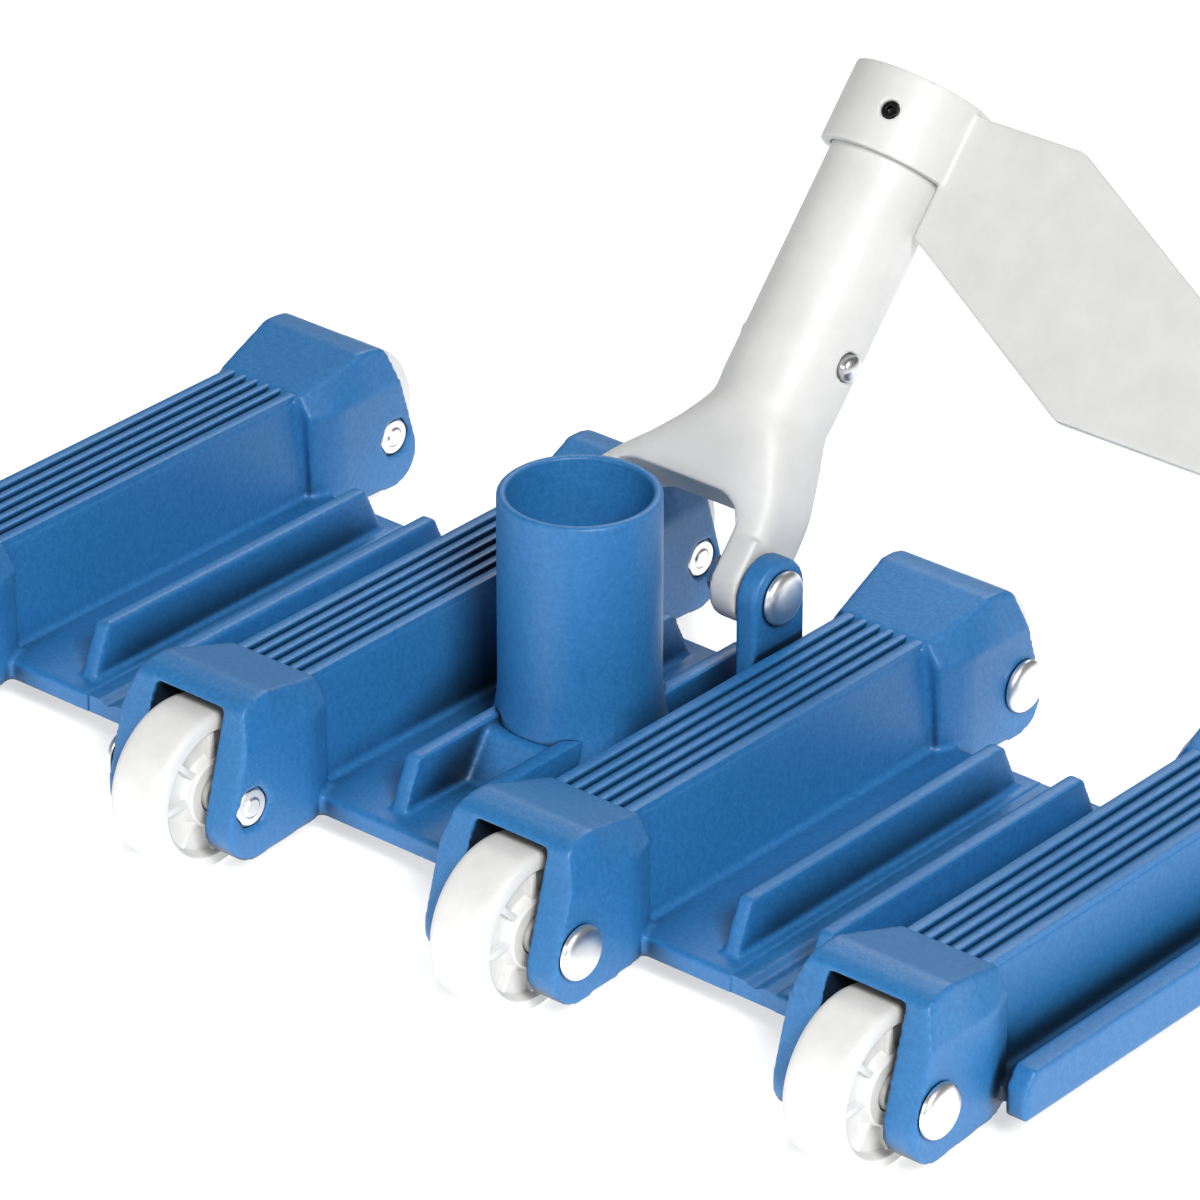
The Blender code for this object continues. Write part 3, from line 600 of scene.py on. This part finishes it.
def body_pieces():
    centre = moved(centre_moulding(), 0, PORT_AXIS_Y)
    finished(centre, "moulding_center", "section_center", BLUE, ["body_center"])
    for n, hand in ((1, "left"), (4, "right")):
        outer = moved(outer_moulding(n), 0, PORT_AXIS_Y)
        finished(outer, f"moulding_{hand}", f"section_{hand}", BLUE, [f"body_{hand}"])
        side = -1 if n == 1 else 1
        strip = hinge_strip(side)
        strip.name = f"web_hinge_{hand}"
        strip.data.materials.append(BLUE)
        strip.data.shade_smooth()
        strip.data.set_sharp_from_angle(angle=radians(40))
        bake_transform(strip)


def port_piece():
    inner = PORT_OUTER - PORT_WALL
    low, high = PORT_LOW.z, PORT_HIGH.z
    profile = [(inner, low), (PORT_OUTER, low), (PORT_OUTER, WEB_TOP_Z - MM)]
    for i in range(9):
        t = i / 8
        flare = (FOOT_RADIUS - PORT_OUTER) * (1 - t) ** 2.2
        profile.append((PORT_OUTER + flare, WEB_TOP_Z - 0.5 * MM + (FOOT_TOP_Z - WEB_TOP_Z) * t))
    profile += arc((PORT_OUTER - 1.0 * MM, high - 1.0 * MM), 1.0 * MM, 0, 90, 5)
    profile += arc((inner + 0.8 * MM, high - 0.8 * MM), 0.8 * MM, 90, 180, 4)
    port = moved(turned(profile, "z", 128), 0, PORT_AXIS_Y)
    finished(port, "port_tube", "section_center", BLUE, ["hose_port"])


# Running gear
def wheel_mesh():
    w = WHEEL_HALF
    r = WHEEL_RADIUS
    hub = BUSH_RADIUS + GAP
    floor = w - 2.6 * MM
    half = [(hub, w - 0.3 * MM), (hub + 0.3 * MM, w), (hub + 3.0 * MM, w), (hub + 3.5 * MM, w - 0.4 * MM)]
    half += [(hub + 4.0 * MM, floor + 0.5 * MM), (hub + 4.5 * MM, floor), (r - 5.6 * MM, floor)]
    half += [(r - 4.8 * MM, floor + 0.4 * MM), (r - 4.0 * MM, w - 0.4 * MM), (r - 3.5 * MM, w)]
    half += [(r - 1.6 * MM, w), (r - 0.8 * MM, w - 0.3 * MM), (r - 0.25 * MM, w - 1.0 * MM)]
    half += [(r - 0.05 * MM, w - 2.0 * MM), (r, w - 4.0 * MM)]
    profile = half + [(a, -b) for a, b in reversed(half)]
    wheel = turned(profile, "x", 96)
    ribs = []
    for face in (-1, 1):
        near, far = sorted((face * (floor - 0.6 * MM), face * (w - 0.9 * MM)))
        for i in range(RIBS):
            rib = block((near, -0.8 * MM, hub + 3.2 * MM), (far, 0.8 * MM, r - 4.4 * MM))
            rounded(rib, 0.3 * MM)
            rib.data.transform(Matrix.Rotation(2 * pi * i / RIBS, 4, "X"))
            ribs.append(rib)
    return joined(wheel, ribs)


def bush_mesh():
    half = WHEEL_HALF + BUSH_PROUD
    inner = AXLE_RADIUS + GAP
    turn = 0.35 * MM
    end = [(inner, half - turn), (inner + turn, half)]
    end += [(BUSH_RADIUS - turn, half), (BUSH_RADIUS, half - turn)]
    return turned(end + [(a, -b) for a, b in reversed(end)], "x", 48)


def bolt_mesh(face, tip, side):
    """A pan-headed bolt along X, seated on face, with a chamfered shank ending at tip."""
    seat = face + GAP
    top = seat + HEAD_THICK
    profile = [(0, tip), (AXLE_RADIUS - 0.5 * MM, tip), (AXLE_RADIUS, tip + 0.5 * MM), (AXLE_RADIUS, seat)]
    profile += [(HEAD_RADIUS - 0.2 * MM, seat), (HEAD_RADIUS, seat + 0.2 * MM)]
    rim = seat + HEAD_RIM
    for i in range(9):
        t = i / 8
        radius = HEAD_RADIUS * cos(t * pi / 2) ** HEAD_ROUNDNESS
        profile.append((radius, rim + (top - rim) * sin(t * pi / 2)))
    profile[-1] = (0, top)
    return turned([(r, side * h) for r, h in profile], "x", 64)


def nut_mesh(low, high):
    """A hexagon nut along X with both faces chamfered."""
    nut = hexagon(NUT_FLATS, low, high)
    corner = NUT_FLATS / 2 / cos(pi / 6)
    shell = [(0, low), (NUT_FLATS / 2 - 0.1 * MM, low), (corner, low + 0.6 * MM), (corner, high - 0.6 * MM)]
    shell += [(NUT_FLATS / 2 - 0.1 * MM, high), (0, high)]
    keep(nut, turned(shell, "x", 48))
    return cut(nut, rod(AXLE_RADIUS + 0.1 * MM, low - MM, high + MM, "x", 32))


def running_gear():
    seat = POD_HALF - NUT_POCKET + GAP
    outer = seat + NUT_THICK
    for n, x in POD_X.items():
        side = 1 if x > 0 else -1
        for end, y in (("front", PORT_AXIS_Y - AXLE_Y), ("rear", PORT_AXIS_Y + AXLE_Y)):
            tag = f"{end}_{n}"
            low, high = sorted((-side * seat, -side * outer))
            tip = -outer - AXLE_TIP_PROUD
            made = (
                (wheel_mesh(), "wheel", f"wheel_{tag}", TREAD, "white_plastic"),
                (bush_mesh(), "bush", f"wheel_{tag}", BUSH, "bush_grey"),
                (bolt_mesh(POD_HALF, tip, side), "axle_bolt", SECTIONS[n], STEEL, "steel"),
                (nut_mesh(low, high), "axle_nut", SECTIONS[n], STEEL, "steel"),
            )
            for obj, kind, body, mat, slot in made:
                moved(obj, x, y, AXLE_Z)
                finished(obj, f"{kind}_detail_{tag}", body, mat, [f"{kind}_{tag}"], 30)
    face = YOKE_HALF - LEG_THICK - GAP
    for tag, side in (("left", -1), ("right", 1)):
        low, high = sorted((side * (face - NUT_THICK), side * face))
        bolt = bolt_mesh(EAR_INNER + EAR_THICK, face - NUT_THICK - PIVOT_TIP_PROUD, side)
        moved(bolt, 0, PIVOT.y, PIVOT.z)
        replaced = [f"pivot_bolt_{tag}"]
        finished(bolt, f"pivot_bolt_detail_{tag}", "section_center", STEEL, replaced, 30)
        nut = moved(nut_mesh(low, high), 0, PIVOT.y, PIVOT.z)
        replaced = [f"pivot_nut_{tag}"]
        finished(nut, f"pivot_nut_detail_{tag}", "section_center", STEEL, replaced, 30)


# Handle
def oval(half_x, half_y, power, count):
    points = []
    for i in range(count):
        t = 2 * pi * i / count
        c, s = cos(t), sin(t)
        x = half_x * abs(c) ** (2 / power) * (1 if c >= 0 else -1)
        y = half_y * abs(s) ** (2 / power) * (1 if s >= 0 else -1)
        points.append((x, y))
    return points


def eased(rows, steps):
    """Runs a smooth curve through rows of numbers with steps between each two. Each row starts higher."""
    out = []
    for k in range(len(rows) - 1):
        before = rows[max(0, k - 1)]
        a, b = rows[k], rows[k + 1]
        after = rows[min(len(rows) - 1, k + 2)]
        span = b[0] - a[0]
        for i in range(steps):
            t = i / steps
            row = []
            for p, q, r, s, zp, zs in zip(before, a, b, after, [before[0]] * len(a), [after[0]] * len(a)):
                slope_a = (r - p) / (b[0] - zp) * span if b[0] > zp else 0.0
                slope_b = (s - q) / (zs - a[0]) * span if zs > a[0] else 0.0
                h = t * t * t
                g = t * t
                ends = q * (2 * h - 3 * g + 1) + r * (3 * g - 2 * h)
                row.append(ends + slope_a * (h - 2 * g + t) + slope_b * (h - g))
            row[0] = a[0] + span * t
            out.append(tuple(row))
    return out + [rows[-1]]


def to_handle(obj):
    """Takes a mesh from the pivot's frame to the row frame."""
    obj.data.transform(Matrix.Translation(PIVOT) @ Matrix.Rotation(-LEAN, 4, "X"))
    return obj


def yoke():
    r = TUBE_RADIUS
    left = TUBE_X - r
    right = TUBE_X + r
    front = -LEG_RADIUS
    rise = TUBE_START - LEG_TOP
    spans = [(LEG_TOP - 3 * MM, -YOKE_HALF, YOKE_HALF, front, HEEL_BACK, 7)]
    spans += [(LEG_TOP, -YOKE_HALF, YOKE_HALF, front, HEEL_BACK, 7)]
    draws = [(0.18, 0.14, 0.0, 6), (0.36, 0.36, 0.1, 5), (0.54, 0.62, 0.4, 4)]
    draws += [(0.77, 0.88, 0.8, 3), (1, 1, 1, 2)]
    for share, in_left, in_right, power in draws:
        from_left = -YOKE_HALF + (left + YOKE_HALF) * in_left
        from_right = YOKE_HALF + (right - YOKE_HALF) * in_right
        rear = HEEL_BACK + (r - HEEL_BACK) * in_left
        near = front + (-r - front) * in_left
        spans.append((LEG_TOP + rise * share, from_left, from_right, near, rear, power))
    spans.append((TUBE_START + 6 * MM, left, right, -r, r, 2))
    spans.append((TUBE_END, left, right, -r, r, 2))
    bm = bmesh.new()
    rings = []
    count = 96
    for z, a, b, c, d, power in eased(spans, 5):
        ring = oval((b - a) / 2, (d - c) / 2, power, count)
        rings.append([bm.verts.new(((a + b) / 2 + x, (c + d) / 2 + y, z)) for x, y in ring])
    for a, b in zip(rings, rings[1:]):
        for i in range(count):
            j = (i + 1) % count
            bm.faces.new((a[i], a[j], b[j], b[i]))
    bm.faces.new(rings[0])
    bm.faces.new(rings[-1])
    obj = add_object("yoke", bm)
    for side in (-1, 1):
        inner, outer = sorted((side * (YOKE_HALF - LEG_THICK), side * YOKE_HALF))
        leg = arc((0, 0), LEG_RADIUS, 180, 350, 28) + [(HEEL_BACK, HEEL_START), (HEEL_BACK, LEG_TOP)]
        leg += [(front, LEG_TOP)]
        add(obj, prism(leg, inner, outer, "x"))
    gap = YOKE_HALF - LEG_THICK
    corner = CROTCH_ROUND
    arch = [(-gap, -LEG_RADIUS - MM), (gap, -LEG_RADIUS - MM)]
    arch += arc((gap - corner, CROTCH - corner), corner, 0, 90, 12)
    arch += arc((-gap + corner, CROTCH - corner), corner, 90, 180, 12)
    cut(obj, prism(arch, -2 * TUBE_RADIUS, 2 * TUBE_RADIUS, "y"))
    cut(obj, moved(rod(r - TUBE_WALL, BORE_START, TUBE_END + MM, "z", 96), TUBE_X))
    cut(obj, rod(AXLE_RADIUS + GAP, -YOKE_HALF - MM, YOKE_HALF + MM, "x"))
    cut(obj, moved(rod(BUTTON_RADIUS + GAP, -2 * r, 2 * r, "x"), TUBE_X, 0, BUTTON_UP))
    cut(obj, screw_rod(SCREW_RADIUS + GAP, 0, 2 * r))
    soften(obj, 0.6 * MM, 5)
    return to_handle(obj)


def screw_rod(radius, inner, outer):
    """A rod square to the tube at the set screw's place, from inner to outer away from the tube's axis."""
    middle = (COLLAR_START + TUBE_END) / 2
    tool = prism(arc((0, middle), radius, 0, 348.75, 31), -outer, -inner, "y")
    return moved(tool, TUBE_X, spin=SCREW_TURN)


def wing_plate():
    inner = TUBE_RADIUS + GAP
    outer = inner + COLLAR_WALL
    start = inner + COLLAR_WALL / 2
    shoulder = start + PLATE_SHOULDER
    tip_high = PLATE_ROOT_HIGH - (PLATE_REACH - shoulder) * PLATE_SLOPE
    heel = start + (PLATE_ROOT_LOW - PLATE_LOW) / PLATE_SLOPE
    outline = [(start, PLATE_ROOT_LOW), (heel, PLATE_LOW)]
    outline += [(PLATE_REACH, PLATE_LOW), (PLATE_REACH, tip_high)]
    outline += [(shoulder, PLATE_ROOT_HIGH), (start, PLATE_ROOT_HIGH)]
    plate = prism(outline, -PLATE_THICK / 2, PLATE_THICK / 2, "y", "wing")
    ring = [(inner, COLLAR_START), (outer, COLLAR_START), (outer, TUBE_END), (inner, TUBE_END)]
    add(plate, turned(ring, "z", 96))
    moved(plate, TUBE_X)
    cut(plate, screw_rod(SCREW_RADIUS + GAP, 0, 2 * outer))
    soften(plate, 0.5 * MM, 4)
    return to_handle(plate)


def set_screw():
    """A socket set screw sunk in the collar."""
    outer = TUBE_RADIUS + COLLAR_WALL - 0.6 * MM
    screw = screw_rod(SCREW_RADIUS, TUBE_RADIUS - TUBE_WALL, outer)
    middle = (COLLAR_START + TUBE_END) / 2
    socket = prism(arc((0, middle), 1.1 * MM, 0, 300, 5), -outer - MM, -outer + 1.6 * MM, "y")
    cut(screw, moved(socket, TUBE_X, spin=SCREW_TURN))
    rounded(screw, 0.15 * MM)
    return to_handle(screw)


def snap_button(side):
    proud = TUBE_RADIUS + BUTTON_PROUD
    base = LEAF_OUTER - CLIP_THICK / 2
    profile = [(0, base), (BUTTON_RADIUS, base)]
    for i in range(8):
        t = i * pi / 16
        profile.append((BUTTON_RADIUS * cos(t), proud - BUTTON_DOME + BUTTON_DOME * sin(t)))
    profile += [(0, proud)]
    button = turned([(r, side * h) for r, h in profile], "x", 48)
    low, high = sorted((side * (LEAF_OUTER - CLIP_THICK), side * LEAF_OUTER))
    leaf = rounded(block((low, -CLIP_HALF, -CLIP_HALF), (high, CLIP_HALF, CLIP_LENGTH)), 0.2 * MM)
    joined(button, [leaf])
    moved(button, TUBE_X, 0, BUTTON_UP)
    return to_handle(button)


def handle_pieces():
    finished(yoke(), "yoke_tube", "handle", WHITE, ["handle_yoke"])
    finished(wing_plate(), "wing_collar", "handle", WHITE, ["wing"])
    finished(set_screw(), "wing_set_screw", "handle", BLACKENED, ["wing_screw"], 30)
    for tag, side in (("left", -1), ("right", 1)):
        replaced = [f"snap_button_{tag}"]
        finished(snap_button(side), f"snap_detail_{tag}", f"button_{tag}", SPRING, replaced, 30)


def carried_over():
    """Materials for the CAD nodes that stay visible as they are."""
    for name, obj in frame["nodes"].items():
        mat = None
        if name.startswith("ballast_cap"):
            mat = BLUE_DARK
        elif name.startswith("ballast"):
            mat = CAST
        elif name == "clip_bend":
            mat = SPRING
        if mat:
            obj.data.materials.clear()
            obj.data.materials.append(mat)


# Studio
VIEW_AZIMUTH = radians(40.5)
VIEW_ELEVATION = radians(28.15)
VIEW_DISTANCE = 1.660
VIEW_ACROSS = 0.004575       # frame centre from the port's axis, to the right and up in the picture
VIEW_UP = 0.02839
VIEW_BASE_Z = 0.01825
LENS = 216.54
FLOOR_HALF = 6.0


def floor():
    bm = bmesh.new()
    corners = [(-1, -1), (1, -1), (1, 1), (-1, 1)]
    bm.faces.new([bm.verts.new((FLOOR_HALF * x, FLOOR_HALF * y, 0)) for x, y in corners])
    plane = add_object("studio_floor", bm)
    pale = tinted("pale_floor", (0.93, 0.93, 0.93), (0.96, 0.96, 0.96), 3, 0.8, 0.05, 40, 0.0001)
    plane.data.materials.append(pale)
    return plane


def softbox(name, azimuth, elevation, distance, width, height, power):
    """A rectangular light aimed at the object. Azimuth 0 is in front of it and 90 at its right end."""
    a = radians(azimuth)
    e = radians(elevation)
    aim = Vector((0, PORT_AXIS_Y, 0.04))
    toward = Vector((sin(a) * cos(e), -cos(a) * cos(e), sin(e)))
    light = bpy.data.lights.new(name, "AREA")
    light.shape = "RECTANGLE"
    light.size = width
    light.size_y = height
    light.energy = power
    lamp = bpy.data.objects.new(name, light)
    bpy.context.scene.collection.objects.link(lamp)
    lamp.location = aim + distance * toward
    lamp.rotation_euler = toward.to_track_quat("Z", "Y").to_euler()
    return lamp


def studio(floor_plane):
    world = bpy.data.worlds.new("studio")
    world.use_nodes = True
    sky = world.node_tree.nodes["Background"]
    sky.inputs["Color"].default_value = (1.0, 1.0, 1.0, 1.0)
    sky.inputs["Strength"].default_value = 0.16
    bpy.context.scene.world = world
    bpy.context.scene.view_settings.view_transform = "Standard"
    softbox("key", 58, 40, 3.0, 0.9, 0.9, 88)
    softbox("front", -12, 24, 2.6, 1.2, 0.6, 13)
    softbox("back_sheen", 205, 40, 2.5, 1.2, 0.8, 20)
    wash = softbox("floor_wash", 0, 89, 3.0, 3.0, 3.0, 95)
    lit = bpy.data.collections.new("floor_only")
    lit.objects.link(floor_plane)
    wash.light_linking.receiver_collection = lit
    wash.light_linking.blocker_collection = lit


def camera():
    level = cos(VIEW_ELEVATION)
    toward = Vector((sin(VIEW_AZIMUTH) * level, -cos(VIEW_AZIMUTH) * level, sin(VIEW_ELEVATION)))
    right = Vector((cos(VIEW_AZIMUTH), sin(VIEW_AZIMUTH), 0))
    up = toward.cross(right)
    target = Vector((0, PORT_AXIS_Y, VIEW_BASE_Z)) + right * VIEW_ACROSS + up * VIEW_UP
    data = bpy.data.cameras.new("camera")
    data.lens = LENS
    data.sensor_width = 36.0
    cam = bpy.data.objects.new("camera", data)
    bpy.context.scene.collection.objects.link(cam)
    turn = Matrix((right, up, toward)).transposed().to_4x4()
    cam.matrix_world = Matrix.Translation(target + VIEW_DISTANCE * toward) @ turn
    bpy.context.scene.camera = cam


body_pieces()
port_piece()
running_gear()
handle_pieces()
carried_over()
studio(floor())
camera()
